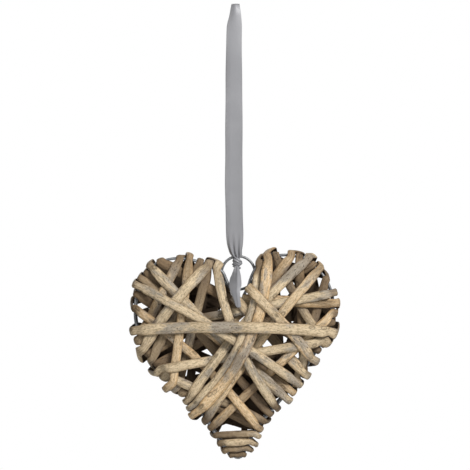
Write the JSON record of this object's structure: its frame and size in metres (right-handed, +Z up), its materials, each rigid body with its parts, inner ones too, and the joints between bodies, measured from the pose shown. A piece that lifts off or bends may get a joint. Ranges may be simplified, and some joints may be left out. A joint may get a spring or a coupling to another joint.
{
  "type": "wicker heart wall decoration",
  "caption": "Openwork heart of split willow strips wound round a double wire frame, with a metal ring in its notch and a satin ribbon loop to hang it by.",
  "frame": {"origin": "inside top of the ribbon loop, where it hangs on a nail or hook", "axes": "+Z up along the hanging ribbon, -Y out of the heart's front, +X to the right seen from the front"},
  "size_m": [0.2005, 0.0717, 0.4319],
  "materials": {
    "willow": "matte, weathered bark and split wood",
    "galvanised_wire": "dull galvanised",
    "grey_satin": "satin weave"
  },
  "bodies": {
    "root": {"strip_01": "willow", "strip_02": "willow", "strip_03": "willow", "strip_04": "willow", "strip_05": "willow", "strip_06": "willow", "strip_07": "willow", "strip_08": "willow", "strip_09": "willow", "strip_10": "willow", "strip_11": "willow", "strip_12": "willow", "wire_frame": "galvanised_wire", "hanging_ring": "galvanised_wire", "ribbon": "grey_satin"}
  },
  "joints": []
}
